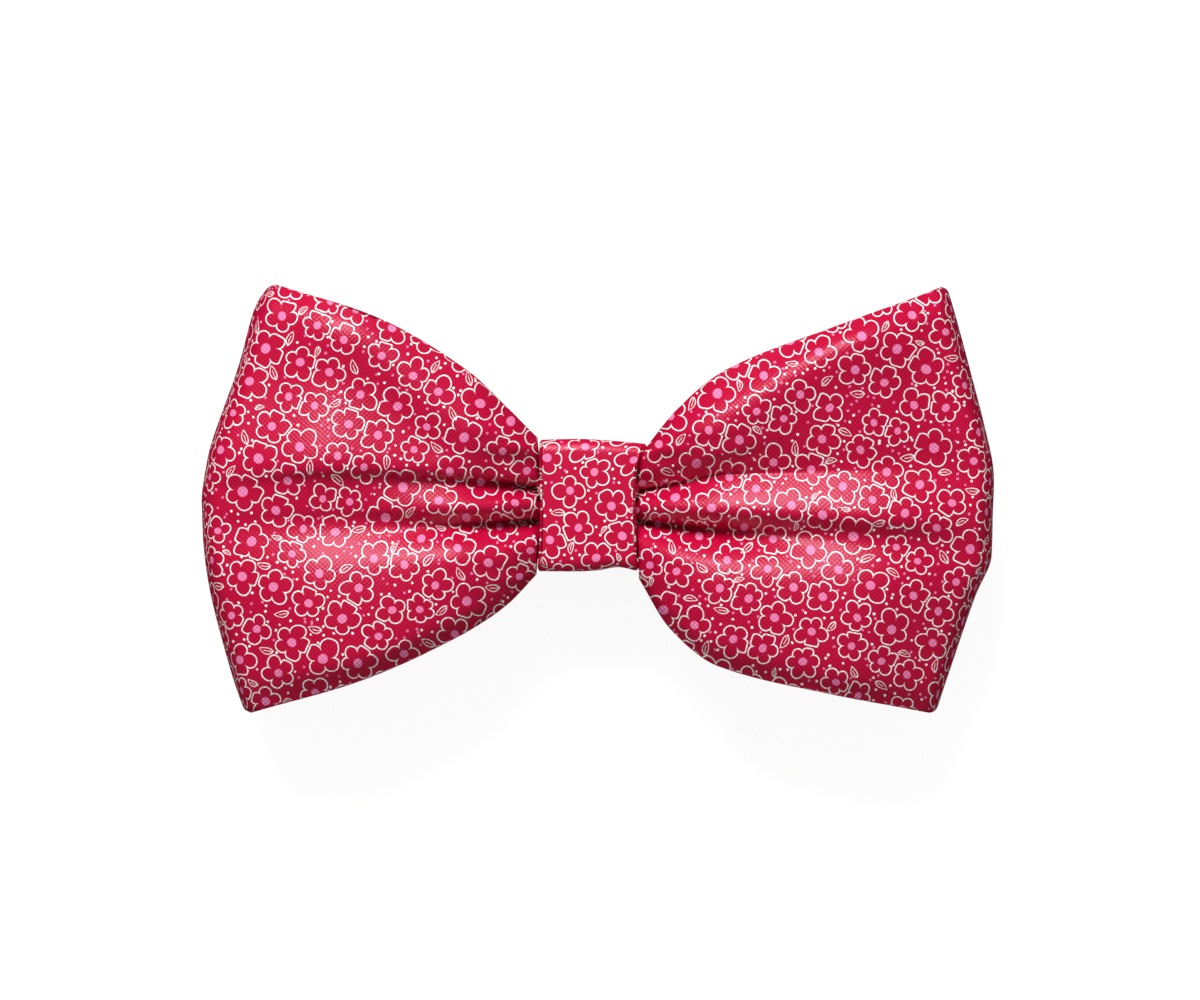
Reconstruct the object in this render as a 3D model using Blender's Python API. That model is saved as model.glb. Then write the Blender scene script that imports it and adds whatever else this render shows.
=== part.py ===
"""A pet bow tie: one folded strip of printed cloth, gathered in the middle by a cloth band, with an elastic loop
on the back that slides over a collar.

The bow lies on its back. X runs from wing to wing, Y is up as worn, and Z is the way the bow faces. The origin is
on the surface that it lies on, under the middle of its outline. All sizes are in metres.
"""

import math

import bpy
import numpy as np

MM = 0.001

# The bow's outline, as seen from the front.
BOW_HEIGHT = 65.2 * MM
LEFT_REACH = 50.9 * MM
RIGHT_REACH = 53.9 * MM

# The bow's cloth, two plies and an interlining, and how far its loops stand open.
STRIP_WALL = 1.3 * MM
FRONT_PUFF = 12.5 * MM
GATHER_DEPTH = 8.4 * MM
NECK_SPRING = 1.2 * MM
FOLD_ROUND = 3.0 * MM
BACK_INSET = 0.7 * MM

# The band round the middle.
BAND_WIDTH = 15.2 * MM
BAND_HEIGHT = 20.0 * MM
BAND_WALL = 1.4 * MM
BAND_CORNER = 1.0 * MM
BAND_CROWN = 0.6 * MM
BAND_WAIST = 0.35 * MM
BAND_DROP = 0.9 * MM

# The elastic loop on the back, sized for a 16 mm collar.
ELASTIC_WIDTH = 13.0 * MM
ELASTIC_WALL = 1.0 * MM
COLLAR_ROOM_TALL = 16.2 * MM
COLLAR_ROOM_DEEP = 4.8 * MM
ELASTIC_LIFT = 0.5 * MM
ELASTIC_CORNER = 1.0 * MM

# What touches keeps this gap.
FIT_GAP = 0.3 * MM

# Heights above the surface, stacked up from the back of the elastic.
ELASTIC_DEPTH = COLLAR_ROOM_DEEP + 2 * ELASTIC_WALL
BAND_BACK = ELASTIC_LIFT + ELASTIC_DEPTH + FIT_GAP
BAND_DEPTH = GATHER_DEPTH + 2 * FIT_GAP + 2 * BAND_WALL
MIDDLE = BAND_BACK + BAND_DEPTH / 2

# Places across the bow.
BAND_X = (LEFT_REACH - RIGHT_REACH) / 2
BAND_Y = -BAND_DROP
GATHER_HEIGHT = BAND_HEIGHT - 2 * (BAND_WALL + FIT_GAP)

# Where along a wing its sections are given, as shares of the way from the neck, beside the band, to the fold.
STATIONS = (0.0, 0.10, 0.26, 0.62, 1.0)

# Each row is a line along a wing, from the neck to the outer fold. The rows run from the top edge to the bottom.
#   reach   where the row meets the fold, as a share of the wing's reach
#   crease  how far out the row stays a sharp crease, as a share of the way to the fold
#   fold    height of the fold itself, as a share of MIDDLE
#   knot    height across and above the middle in the gather, as shares of half its height and half its depth
#   across  height up the bow at each station, as a share of half of BOW_HEIGHT
#   lift    height of the front layer above MIDDLE at each station, as a share of FRONT_PUFF
#   sink    depth of the back layer below MIDDLE at each station, as a share of MIDDLE
RIGHT_WING = (
    dict(row="top edge", reach=0.870, crease=0, fold=0.85, knot=(1.00, 0.44),
         across=(0.232, 0.414, 0.600, 0.802, 0.992), lift=(0.28, 0.42, 0.58, 0.78, 0.22),
         sink=(0.30, 0.44, 0.56, 0.64, 0.50)),
    dict(row="top roll", reach=0.895, crease=0, fold=0.88, knot=(0.80, 0.86),
         across=(0.200, 0.290, 0.400, 0.690, 0.850), lift=(0.46, 0.76, 0.98, 1.07, 0.42),
         sink=(0.42, 0.68, 0.92, 1.05, 0.66)),
    dict(row="upper flank", reach=0.935, crease=0, fold=0.91, knot=(0.58, 0.84),
         across=(0.145, 0.175, 0.240, 0.480, 0.600), lift=(0.42, 0.68, 0.94, 0.98, 0.48),
         sink=(0.40, 0.68, 0.95, 1.08, 0.70)),
    dict(row="upper shelf", reach=0.975, crease=0, fold=0.94, knot=(0.34, 1.00),
         across=(0.090, 0.120, 0.180, 0.280, 0.340), lift=(0.34, 0.56, 0.82, 0.88, 0.50),
         sink=(0.38, 0.62, 0.84, 0.96, 0.68)),
    dict(row="upper crease", reach=1.000, crease=0.80, fold=0.95, knot=(0.10, 0.42),
         across=(0.036, 0.070, 0.116, 0.128, 0.135), lift=(0.05, 0.30, 0.58, 0.78, 0.48),
         sink=(0.28, 0.48, 0.66, 0.76, 0.62)),
    dict(row="middle ridge", reach=0.998, crease=0, fold=0.95, knot=(-0.12, 0.94),
         across=(-0.033, -0.045, -0.055, -0.070, -0.080), lift=(0.46, 0.70, 0.90, 1.04, 0.54),
         sink=(0.36, 0.56, 0.68, 0.74, 0.60)),
    dict(row="lower crease", reach=0.995, crease=0.50, fold=0.95, knot=(-0.32, 0.42),
         across=(-0.102, -0.126, -0.149, -0.190, -0.260), lift=(0.02, 0.20, 0.52, 0.90, 0.50),
         sink=(0.28, 0.48, 0.66, 0.76, 0.62)),
    dict(row="lower ridge", reach=0.945, crease=0, fold=0.94, knot=(-0.56, 1.00),
         across=(-0.190, -0.250, -0.330, -0.400, -0.470), lift=(0.48, 0.76, 0.98, 1.05, 0.50),
         sink=(0.40, 0.66, 0.88, 1.00, 0.70)),
    dict(row="lower roll", reach=0.869, crease=0, fold=0.90, knot=(-0.79, 0.86),
         across=(-0.325, -0.490, -0.640, -0.760, -0.840), lift=(0.44, 0.68, 0.90, 0.98, 0.42),
         sink=(0.42, 0.68, 0.94, 1.08, 0.68)),
    dict(row="bottom edge", reach=0.838, crease=0, fold=0.85, knot=(-1.00, 0.44),
         across=(-0.375, -0.605, -0.778, -0.903, -1.000), lift=(0.28, 0.44, 0.62, 0.74, 0.28),
         sink=(0.30, 0.44, 0.56, 0.64, 0.50)),
)
LEFT_WING = (
    dict(row="top edge", reach=0.798, crease=0, fold=0.85, knot=(1.00, 0.44),
         across=(0.278, 0.404, 0.592, 0.856, 1.004), lift=(0.28, 0.44, 0.64, 0.78, 0.26),
         sink=(0.30, 0.44, 0.56, 0.64, 0.50)),
    dict(row="top roll", reach=0.846, crease=0, fold=0.88, knot=(0.80, 0.86),
         across=(0.235, 0.262, 0.290, 0.720, 0.880), lift=(0.46, 0.78, 0.99, 0.94, 0.40),
         sink=(0.42, 0.68, 0.92, 1.05, 0.66)),
    dict(row="upper valley", reach=0.894, crease=0, fold=0.91, knot=(0.58, 0.80),
         across=(0.150, 0.160, 0.170, 0.570, 0.680), lift=(0.36, 0.56, 0.74, 0.76, 0.46),
         sink=(0.40, 0.68, 0.95, 1.08, 0.70)),
    dict(row="upper ridge", reach=0.983, crease=0, fold=0.94, knot=(0.34, 1.00),
         across=(0.100, 0.112, 0.124, 0.180, 0.195), lift=(0.40, 0.60, 0.82, 1.07, 0.54),
         sink=(0.38, 0.62, 0.84, 0.96, 0.68)),
    dict(row="upper crease", reach=1.000, crease=0.45, fold=0.95, knot=(0.10, 0.42),
         across=(0.051, 0.074, 0.086, 0.080, 0.030), lift=(0.05, 0.26, 0.60, 0.92, 0.50),
         sink=(0.28, 0.48, 0.66, 0.76, 0.62)),
    dict(row="middle ridge", reach=1.000, crease=0, fold=0.95, knot=(-0.12, 0.94),
         across=(-0.028, -0.035, -0.040, -0.040, -0.060), lift=(0.46, 0.70, 0.86, 0.88, 0.50),
         sink=(0.36, 0.56, 0.68, 0.74, 0.60)),
    dict(row="lower crease", reach=0.998, crease=0.45, fold=0.95, knot=(-0.32, 0.42),
         across=(-0.102, -0.112, -0.122, -0.140, -0.160), lift=(0.02, 0.18, 0.48, 0.80, 0.48),
         sink=(0.28, 0.48, 0.66, 0.76, 0.62)),
    dict(row="lower ridge", reach=0.975, crease=0, fold=0.94, knot=(-0.56, 1.00),
         across=(-0.180, -0.225, -0.265, -0.360, -0.440), lift=(0.48, 0.76, 0.98, 1.03, 0.50),
         sink=(0.40, 0.66, 0.88, 1.00, 0.70)),
    dict(row="lower roll", reach=0.915, crease=0, fold=0.90, knot=(-0.79, 0.86),
         across=(-0.300, -0.400, -0.520, -0.710, -0.800), lift=(0.44, 0.68, 0.90, 1.02, 0.44),
         sink=(0.42, 0.68, 0.94, 1.08, 0.68)),
    dict(row="bottom edge", reach=0.872, crease=0, fold=0.85, knot=(-1.00, 0.44),
         across=(-0.355, -0.498, -0.640, -0.858, -1.000), lift=(0.28, 0.44, 0.62, 0.74, 0.28),
         sink=(0.30, 0.44, 0.56, 0.64, 0.50)),
)

# How finely the cloth is divided: along a wing, round its fold, across each row, and round and across the band.
ALONG_WING = 13
ROUND_FOLD = 5
PER_ROW = 2
ROUND_CORNER = 4
ALONG_SIDE = 8
ACROSS_BAND = 6

# How steeply a sharp crease falls, and how closely its two sides stand: straight sides that run on have 1.
CREASE_STEEPNESS = 1.5
CREASE_CLOSENESS = 0.6


def column(wing, name):
    """One named column of a wing's table, with a row for each of its lines."""
    return np.array([row[name] for row in wing], float)


def smooth_through(at, values, where):
    """A smooth curve through values given at the places at, read at where, that never overshoots them.

    Each slope is the harmonic mean of the slopes on both sides, and zero where they differ in sign.
    """
    at = np.array(at, float)
    steps = np.diff(at)
    slopes = np.diff(values, axis=1) / steps
    before, after = slopes[:, :-1], slopes[:, 1:]
    same_way = before * after > 0
    total = np.where(same_way, before + after, 1.0)
    inner = np.where(same_way, 2 * before * after / total, 0.0)
    tangents = np.concatenate([slopes[:, :1], inner, slopes[:, -1:]], axis=1)
    piece = np.clip(np.searchsorted(at, where, side="right") - 1, 0, len(at) - 2)
    rows = np.arange(len(values))[:, None]
    t = (where - at[piece]) / steps[piece]
    start, end = values[rows, piece], values[rows, piece + 1]
    leave = tangents[rows, piece] * steps[piece]
    arrive = tangents[rows, piece + 1] * steps[piece]
    rise = t * t * (3 - 2 * t)
    return start + (end - start) * rise + leave * t * (1 - t) ** 2 - arrive * t * t * (1 - t)


def across_rows(lines, sharpness, steepness):
    """Joins a wing's lines from row to row with cubics, PER_ROW steps to a row.

    A line is smooth where its sharpness is 0, with the mean of the slopes on both sides, but at most twice the
    flatter one. Where its sharpness is 1, each side leaves it straight for its neighbour.
    """
    forward = np.diff(lines, axis=0)
    before, after = forward[:-1], forward[1:]
    flatter = np.minimum(np.abs(before), np.abs(after))
    steepest = np.where(before * after > 0, 2 * flatter, np.inf)
    inner = np.clip((before + after) / 2, -steepest, steepest)
    smooth = np.concatenate([forward[:1], inner, forward[-1:]])
    leave = smooth[:-1] * (1 - sharpness[:-1]) + forward * steepness * sharpness[:-1]
    arrive = smooth[1:] * (1 - sharpness[1:]) + forward * steepness * sharpness[1:]
    t = (np.arange(PER_ROW) / PER_ROW)[None, :, None]
    rise = t * t * (3 - 2 * t)
    joined = lines[:-1, None] + forward[:, None] * rise
    joined += leave[:, None] * t * (1 - t) ** 2 - arrive[:, None] * t * t * (1 - t)
    return np.concatenate([joined.reshape(-1, lines.shape[1]), lines[-1:]])


def wing_layer(wing, reach, side, front):
    """Points of one layer of a wing, as rows from the top edge down and columns from the band's middle to the fold.

    side is 1 for the wing at +X and -1 for the one at -X. front tells the front layer from the back one.
    """
    ends = column(wing, "reach")[:, None] * reach
    knots = column(wing, "knot")
    half_gather = GATHER_DEPTH / 2
    facing = 1 if front else -1
    if front:
        envelope = MIDDLE + FRONT_PUFF * column(wing, "lift")
    else:
        envelope = MIDDLE * (1 - column(wing, "sink"))
    fold = MIDDLE * column(wing, "fold")[:, None]

    # The fold is a quarter ellipse, as deep along the wing as its layer is high there.
    opened = np.abs(envelope[:, -1:] - fold)
    turn = np.minimum(FOLD_ROUND * opened / opened.max(), ends / 3) / ends
    out = np.arange(ALONG_WING)[None, :] / ALONG_WING * (1 - turn)
    angles = np.linspace(0, math.pi / 2, ROUND_FOLD + 1)[None, :]
    share = np.concatenate([out, 1 - turn + turn * np.sin(angles)], axis=1)
    closing = np.concatenate([np.ones_like(out), np.cos(angles) + 0 * turn], axis=1)

    y = smooth_through(STATIONS, column(wing, "across") * BOW_HEIGHT / 2, share)
    z = fold + (smooth_through(STATIONS, envelope, share) - fold) * closing
    x = BAND_WIDTH / 2 + NECK_SPRING + share * (ends - NECK_SPRING)
    if not front:
        edge = np.abs(np.linspace(-1, 1, len(wing)))[:, None] ** 4
        y -= np.sign(y) * edge * BACK_INSET * closing

    # Inside the band the strip is gathered, and the same at both of the band's ends and in its middle.
    inside = np.array([[0.0, 0.5, 1.0]]) * BAND_WIDTH / 2 + 0 * ends
    y_knot = BAND_Y + knots[:, :1] * GATHER_HEIGHT / 2 + 0 * inside
    z_knot = MIDDLE + facing * knots[:, 1:] * half_gather + 0 * inside
    x = np.concatenate([inside, x], axis=1)
    y = np.concatenate([y_knot, y], axis=1)
    z = np.concatenate([z_knot, z], axis=1)

    along = np.concatenate([0 * inside, share], axis=1)
    reach_of_crease = column(wing, "crease")[:, None]
    sharpness = np.clip(1 - along / np.maximum(reach_of_crease, 1e-6), 0, 1) * (reach_of_crease > 0)
    x = across_rows(x, 0 * sharpness, 1)
    y = across_rows(y, sharpness, CREASE_CLOSENESS)
    z = np.maximum(across_rows(z, sharpness, CREASE_STEEPNESS), 0)
    return np.stack([BAND_X + side * x, y, z], axis=-1)


def sheet_object(name, grid, material, wall, outwards):
    """A cloth ring as an object: grid has points by row and by column, and its columns close on themselves.

    Its faces point away from the ring's middle. The wall is laid outside the grid or inside it.
    """
    rows, columns = grid.shape[:2]
    index = np.arange(rows * columns).reshape(rows, columns)
    beside = np.roll(index, -1, axis=1)
    faces = np.stack([index[:-1], index[1:], beside[1:], beside[:-1]], axis=-1).reshape(-1, 4)
    mesh = bpy.data.meshes.new(name)
    mesh.from_pydata(grid.reshape(-1, 3).tolist(), [], faces.tolist())
    mesh.materials.append(material)
    mesh.shade_smooth()
    thing = bpy.data.objects.new(name, mesh)
    bpy.context.scene.collection.objects.link(thing)
    solid = thing.modifiers.new("wall", "SOLIDIFY")
    solid.thickness = wall
    solid.offset = 1 if outwards else -1
    solid.use_even_offset = False
    return thing


def make_bow(material):
    """The bow: one strip of cloth folded into two open loops, front layer, right fold, back layer, left fold."""
    right_front = wing_layer(RIGHT_WING, RIGHT_REACH, 1, True)
    right_back = wing_layer(RIGHT_WING, RIGHT_REACH, 1, False)
    left_back = wing_layer(LEFT_WING, LEFT_REACH, -1, False)
    left_front = wing_layer(LEFT_WING, LEFT_REACH, -1, True)
    loop = [
        right_front[:, :-1],
        right_back[:, :0:-1],
        left_back[:, :-1],
        left_front[:, :0:-1],
    ]
    return sheet_object("bow_strip", np.concatenate(loop, axis=1), material, STRIP_WALL, False)


def rounded_ring(height, depth, corner):
    """The outline of a rounded rectangle in Y and Z about its own middle, anticlockwise from the middle of its front.

    Each side has ALONG_SIDE steps and each corner ROUND_CORNER.
    """
    points = []
    for quarter in range(4):
        turned = math.pi / 2 * quarter
        wide, tall = (height, depth) if quarter % 2 == 0 else (depth, height)
        flat = wide / 2 - corner
        side = np.linspace(-flat, flat, ALONG_SIDE + 1)[:-1]
        local = [(s, tall / 2) for s in side]
        for step in range(ROUND_CORNER):
            angle = math.pi / 2 * step / ROUND_CORNER
            local.append((flat + corner * math.sin(angle), tall / 2 - corner + corner * math.cos(angle)))
        cosine, sine = math.cos(turned), math.sin(turned)
        points += [(s * cosine + t * sine, t * cosine - s * sine) for s, t in local]
    return np.array(points)


def make_band(material):
    """The band: a ring of cloth round the gather, crowned in front and a little waisted."""
    height = BAND_HEIGHT - 2 * BAND_WALL
    depth = BAND_DEPTH - 2 * BAND_WALL
    ring = rounded_ring(height, depth, BAND_CORNER)
    share_up = ring[:, 0] / (height / 2)
    in_front = np.clip(ring[:, 1] / (depth / 2), 0, 1)
    grid = []
    for step in range(ACROSS_BAND + 1):
        across = 2 * step / ACROSS_BAND - 1
        half = BAND_WIDTH / 2 - BAND_WAIST * (1 - share_up**2)
        x = BAND_X + across * half
        crown = BAND_CROWN * (1 - share_up**2) * in_front * (1 - across**2)
        z = MIDDLE + ring[:, 1] + crown
        grid.append(np.stack([x, BAND_Y + ring[:, 0], z], axis=-1))
    return sheet_object("knot_band", np.array(grid), material, BAND_WALL, True)


def make_elastic(material):
    """The elastic: a flat loop behind the band, open from side to side for the collar."""
    ring = rounded_ring(COLLAR_ROOM_TALL, COLLAR_ROOM_DEEP, ELASTIC_CORNER)
    middle = ELASTIC_LIFT + ELASTIC_DEPTH / 2
    grid = []
    for end in (-1, 1):
        x = np.full(len(ring), BAND_X + end * ELASTIC_WIDTH / 2)
        grid.append(np.stack([x, BAND_Y + ring[:, 0], middle + ring[:, 1]], axis=-1))
    return sheet_object("collar_elastic", np.array(grid), material, ELASTIC_WALL, True)


def make_material(name, colour, roughness):
    """A plain Principled material."""
    material = bpy.data.materials.new(name)
    material.use_nodes = True
    shader = material.node_tree.nodes["Principled BSDF"]
    shader.inputs["Base Color"].default_value = (*colour, 1.0)
    shader.inputs["Roughness"].default_value = roughness
    shader.inputs["Metallic"].default_value = 0.0
    material.diffuse_color = (*colour, 1.0)
    return material


def main():
    for thing in list(bpy.data.objects):
        bpy.data.objects.remove(thing)
    make_bow(make_material("printed_bow_cloth", (0.58, 0.04, 0.10), 0.6))
    make_band(make_material("printed_band_cloth", (0.56, 0.04, 0.10), 0.65))
    make_elastic(make_material("woven_elastic", (0.02, 0.02, 0.02), 0.8))


main()
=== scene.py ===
"""A pet bow tie lying on its back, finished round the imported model: gathered printed cloth, its band and elastic.

X runs from wing to wing, Y is up as worn, and Z is the way the bow faces. Sizes are in metres, except where a
name ends in _MM: patterns are worked out in millimetres of cloth, which is what the pieces' UV maps hold.
"""

import math
from functools import partial

import bpy
import numpy as np
from bpy.props import FloatProperty, FloatVectorProperty, PointerProperty
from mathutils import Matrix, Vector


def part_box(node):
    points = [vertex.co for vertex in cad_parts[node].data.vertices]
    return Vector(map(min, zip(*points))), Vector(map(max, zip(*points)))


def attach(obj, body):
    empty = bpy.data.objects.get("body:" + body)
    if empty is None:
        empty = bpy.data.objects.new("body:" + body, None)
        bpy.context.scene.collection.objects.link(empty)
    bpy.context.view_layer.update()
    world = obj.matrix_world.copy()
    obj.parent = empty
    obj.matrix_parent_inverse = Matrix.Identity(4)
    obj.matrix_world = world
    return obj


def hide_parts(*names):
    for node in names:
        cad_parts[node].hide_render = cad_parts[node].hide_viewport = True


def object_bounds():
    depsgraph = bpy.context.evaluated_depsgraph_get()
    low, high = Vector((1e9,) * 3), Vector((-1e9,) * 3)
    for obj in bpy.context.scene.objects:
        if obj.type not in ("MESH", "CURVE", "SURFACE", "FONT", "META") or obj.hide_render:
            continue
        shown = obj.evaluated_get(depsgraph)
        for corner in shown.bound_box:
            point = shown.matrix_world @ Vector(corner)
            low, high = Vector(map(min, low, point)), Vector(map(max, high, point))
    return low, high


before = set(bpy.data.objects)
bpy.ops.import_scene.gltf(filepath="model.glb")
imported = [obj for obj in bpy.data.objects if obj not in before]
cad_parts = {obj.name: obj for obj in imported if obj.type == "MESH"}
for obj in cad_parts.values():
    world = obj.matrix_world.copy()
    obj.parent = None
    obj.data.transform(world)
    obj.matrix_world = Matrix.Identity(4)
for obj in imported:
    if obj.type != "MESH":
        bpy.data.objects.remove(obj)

bl_info = {
    "name": "Pet bow tie",
    "version": (1, 0, 0),
    "blender": (4, 5, 0),
    "location": "3D View > Sidebar > Bow Tie",
    "description": "Makes a gathered pet bow tie of printed cloth with an elastic collar loop",
    "category": "Add Mesh",
}

MM = 0.001
CAD_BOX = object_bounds()
BAND_LOW, BAND_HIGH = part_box("knot_band")
ELASTIC_LOW, ELASTIC_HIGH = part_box("collar_elastic")

# Where along a wing its lines are given, as shares of the way from the neck, beside the band, to the fold.
STATIONS = (0.0, 0.10, 0.26, 0.62, 1.0)

# Each row is a line along a wing, from the neck to the outer fold. The rows run from the top edge to the bottom.
#   crease  how far out the row stays a sharp crease, as a share of the way to the fold
#   fold    height of the fold itself, as a share of the middle's height
#   knot    height across and above the middle in the gather, as shares of half its height and half its depth
#   sink    depth of the back layer below the middle at each station, as a share of the middle's height
#   reach   where the row meets the fold, as a share of the wing's reach
#   across  height up the bow at each station, as a share of half of the bow's height
#   lift    height of the front layer above the middle at each station, as a share of the front's puff
# BOTH_WINGS holds what a wing's own row doesn't give. A row is no crease where none says so.
BOTH_WINGS = (
    dict(fold=0.85, knot=(1.00, 0.44), sink=(0.30, 0.44, 0.56, 0.64, 0.50)),
    dict(fold=0.88, knot=(0.80, 0.86), sink=(0.42, 0.68, 0.92, 1.05, 0.66)),
    dict(fold=0.91, knot=(0.58, 0.84), sink=(0.40, 0.68, 0.95, 1.08, 0.70)),
    dict(fold=0.94, knot=(0.34, 1.00), sink=(0.38, 0.62, 0.84, 0.96, 0.68)),
    dict(fold=0.95, knot=(0.10, 0.42), sink=(0.28, 0.48, 0.66, 0.76, 0.62)),
    dict(fold=0.95, knot=(-0.12, 0.94), sink=(0.36, 0.56, 0.68, 0.74, 0.60)),
    dict(fold=0.95, knot=(-0.32, 0.42), sink=(0.28, 0.48, 0.66, 0.76, 0.62)),
    dict(fold=0.94, knot=(-0.56, 1.00), sink=(0.40, 0.66, 0.88, 1.00, 0.70)),
    dict(fold=0.90, knot=(-0.79, 0.86), sink=(0.42, 0.68, 0.94, 1.08, 0.68)),
    dict(fold=0.85, knot=(-1.00, 0.44), sink=(0.30, 0.44, 0.56, 0.64, 0.50)),
)
RIGHT_WING = {
    "top edge": dict(reach=0.870,
        across=(0.232, 0.414, 0.600, 0.802, 0.992), lift=(0.28, 0.42, 0.58, 0.78, 0.22)),
    "top roll": dict(reach=0.895,
        across=(0.200, 0.290, 0.400, 0.690, 0.850), lift=(0.46, 0.76, 0.98, 1.07, 0.42)),
    "upper flank": dict(reach=0.935,
        across=(0.145, 0.175, 0.240, 0.480, 0.600), lift=(0.42, 0.68, 0.94, 0.98, 0.48)),
    "upper shelf": dict(reach=0.975,
        across=(0.090, 0.120, 0.180, 0.280, 0.340), lift=(0.34, 0.56, 0.82, 0.88, 0.50)),
    "upper crease": dict(reach=1.000, crease=0.80,
        across=(0.036, 0.070, 0.116, 0.128, 0.135), lift=(0.05, 0.34, 0.66, 0.80, 0.48)),
    "middle ridge": dict(reach=0.998,
        across=(-0.033, -0.045, -0.055, -0.070, -0.080), lift=(0.46, 0.70, 0.90, 1.04, 0.54)),
    "lower crease": dict(reach=0.995, crease=0.50,
        across=(-0.102, -0.126, -0.149, -0.190, -0.260), lift=(0.02, 0.20, 0.52, 0.90, 0.50)),
    "lower ridge": dict(reach=0.945,
        across=(-0.190, -0.250, -0.330, -0.400, -0.470), lift=(0.48, 0.76, 0.98, 1.05, 0.50)),
    "lower roll": dict(reach=0.869,
        across=(-0.325, -0.490, -0.640, -0.760, -0.840), lift=(0.44, 0.68, 0.90, 0.98, 0.42)),
    "bottom edge": dict(reach=0.838,
        across=(-0.375, -0.605, -0.778, -0.903, -1.000), lift=(0.28, 0.44, 0.62, 0.74, 0.28)),
}
LEFT_WING = {
    "top edge": dict(reach=0.798,
        across=(0.290, 0.418, 0.604, 0.860, 1.004), lift=(0.28, 0.44, 0.64, 0.78, 0.26)),
    "top roll": dict(reach=0.846,
        across=(0.235, 0.280, 0.370, 0.740, 0.880), lift=(0.46, 0.74, 0.94, 0.96, 0.42)),
    "upper valley": dict(reach=0.894, knot=(0.58, 0.80),
        across=(0.150, 0.170, 0.200, 0.500, 0.610), lift=(0.40, 0.66, 0.90, 0.92, 0.48)),
    "upper ridge": dict(reach=0.983,
        across=(0.100, 0.112, 0.124, 0.180, 0.195), lift=(0.40, 0.64, 0.88, 1.07, 0.54)),
    "upper crease": dict(reach=1.000, crease=0.45,
        across=(0.051, 0.074, 0.086, 0.080, 0.030), lift=(0.05, 0.32, 0.70, 0.94, 0.50)),
    "middle ridge": dict(reach=1.000,
        across=(-0.028, -0.035, -0.040, -0.040, -0.060), lift=(0.46, 0.70, 0.86, 0.88, 0.50)),
    "lower crease": dict(reach=0.998, crease=0.45,
        across=(-0.102, -0.112, -0.122, -0.140, -0.160), lift=(0.02, 0.26, 0.62, 0.85, 0.48)),
    "lower ridge": dict(reach=0.975,
        across=(-0.180, -0.225, -0.265, -0.360, -0.440), lift=(0.48, 0.76, 0.98, 1.03, 0.50)),
    "lower roll": dict(reach=0.915,
        across=(-0.300, -0.400, -0.520, -0.710, -0.800), lift=(0.44, 0.68, 0.90, 1.02, 0.44)),
    "bottom edge": dict(reach=0.872,
        across=(-0.355, -0.498, -0.640, -0.858, -1.000), lift=(0.28, 0.44, 0.62, 0.74, 0.28)),
}

# How steeply the cloth falls into a sharp crease and rises out of it, and how closely its sides stand: straight
# sides that run on have 1.
CREASE_STEEPNESS = (2.6, 1.7)
CREASE_CLOSENESS = (0.35, 0.60)

# Radius of a wing's outer tips.
TIP_ROUND = 1.1 * MM

# Slope past which cloth that turns away from the front adds to the print's length.
STEEP = 1.2

# How finely the cloth is divided: along a wing's front and back, round its fold, across each row, round a rim, and
# across the band and the elastic. Their rings have so many places to a side and to a corner.
ALONG_FRONT = 84
ALONG_BACK = 46
ROUND_FOLD = 12
INSIDE_BAND = 3
PER_ROW = 11
ROUND_RIM = 6
ELASTIC_RIM = 4
ACROSS_BAND = 44
ACROSS_ELASTIC = 130
BAND_RING = (34, 10)
ELASTIC_RING = (40, 12)

# Depth of a cloth's rim, as a share of its wall.
RIM_DEPTH = 0.35

# How the band's top and bottom edges run: heights above its straight ends, as shares of half its height, at places
# across, as shares of half its width.
EDGE_ACROSS = (-1.00, -0.25, 0.20, 0.60, 1.00)
BAND_EDGES = ((-0.015, 0.000, -0.020, -0.045, -0.080), (0.000, -0.005, 0.012, 0.060, 0.000))

# How far the band is nipped in at its sides' middles, how far its top flares towards +X, and its small creases.
WAIST = 0.35 * MM
BAND_LEAN = 1.4 * MM
BAND_CREASE = 0.10 * MM

# The print's ink: the soft edge of a line, and how far the whole drawing wavers, over about 3 mm.
SOFT_MM = 0.035
WAVER_MM = 0.35

# The printed blossoms. A blossom's half width is FILL of the room to its neighbour, from LEAST to MOST of the
# lattice's spacing. SIX_PETALS and FOUR_PETALS of them have six and four petals, and the others have five. A petal's
# radius is SPREAD times what makes neighbours touch, and varies by UNEVEN. Where two blossoms meet, the corners of
# their outlines are rounded.
LATTICE_JITTER = 0.34
BLOSSOM_FILL = 1.07
BLOSSOM_LEAST = 0.36
BLOSSOM_MOST = 0.56
BLOSSOM_STRETCH = 0.12
BLOSSOM_GAP_MM = 0.38
MEETING_ROUND_MM = 0.28
SIX_PETALS = 0.12
FOUR_PETALS = 0.10
PETAL_SPREAD = 1.13
PETAL_UNEVEN = 0.05
HEART_SHARE = 0.25

# The printed leaves and dots, in millimetres of cloth. LEAF_BARE of the leaves' places are left bare, and so are
# those with room for less than LEAF_LEAST of a whole leaf. AWAY_MM takes what is left out beyond every line.
LEAF_JITTER = 0.22
LEAF_HALF_MM = 1.10
LEAF_CLEAR_MM = 0.14
LEAF_LEAST = 0.58
LEAF_BARE = 0.10
AWAY_MM = 9.0
DOT_SPACING_MM = 1.35
DOT_MM = 0.40
DOT_CLEAR_MM = 0.36

# The elastic's rows of covering yarn, so many millimetres apart, and half the depth of its ribs.
YARN_ROW_MM = 0.55
RIB_DEPTH = 0.045 * MM

# Sewing thread's thickness, the zigzag seam's stitches and points to a stitch, how far it swings each way, and the
# places across of the tacks, as shares of half the elastic's width.
THREAD = 0.32 * MM
STITCHES = 15
STITCH_STEPS = 6
SEAM_REACH = 1.1 * MM
TACKS = (-0.6, -0.3, 0.0, 0.3, 0.6)

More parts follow.
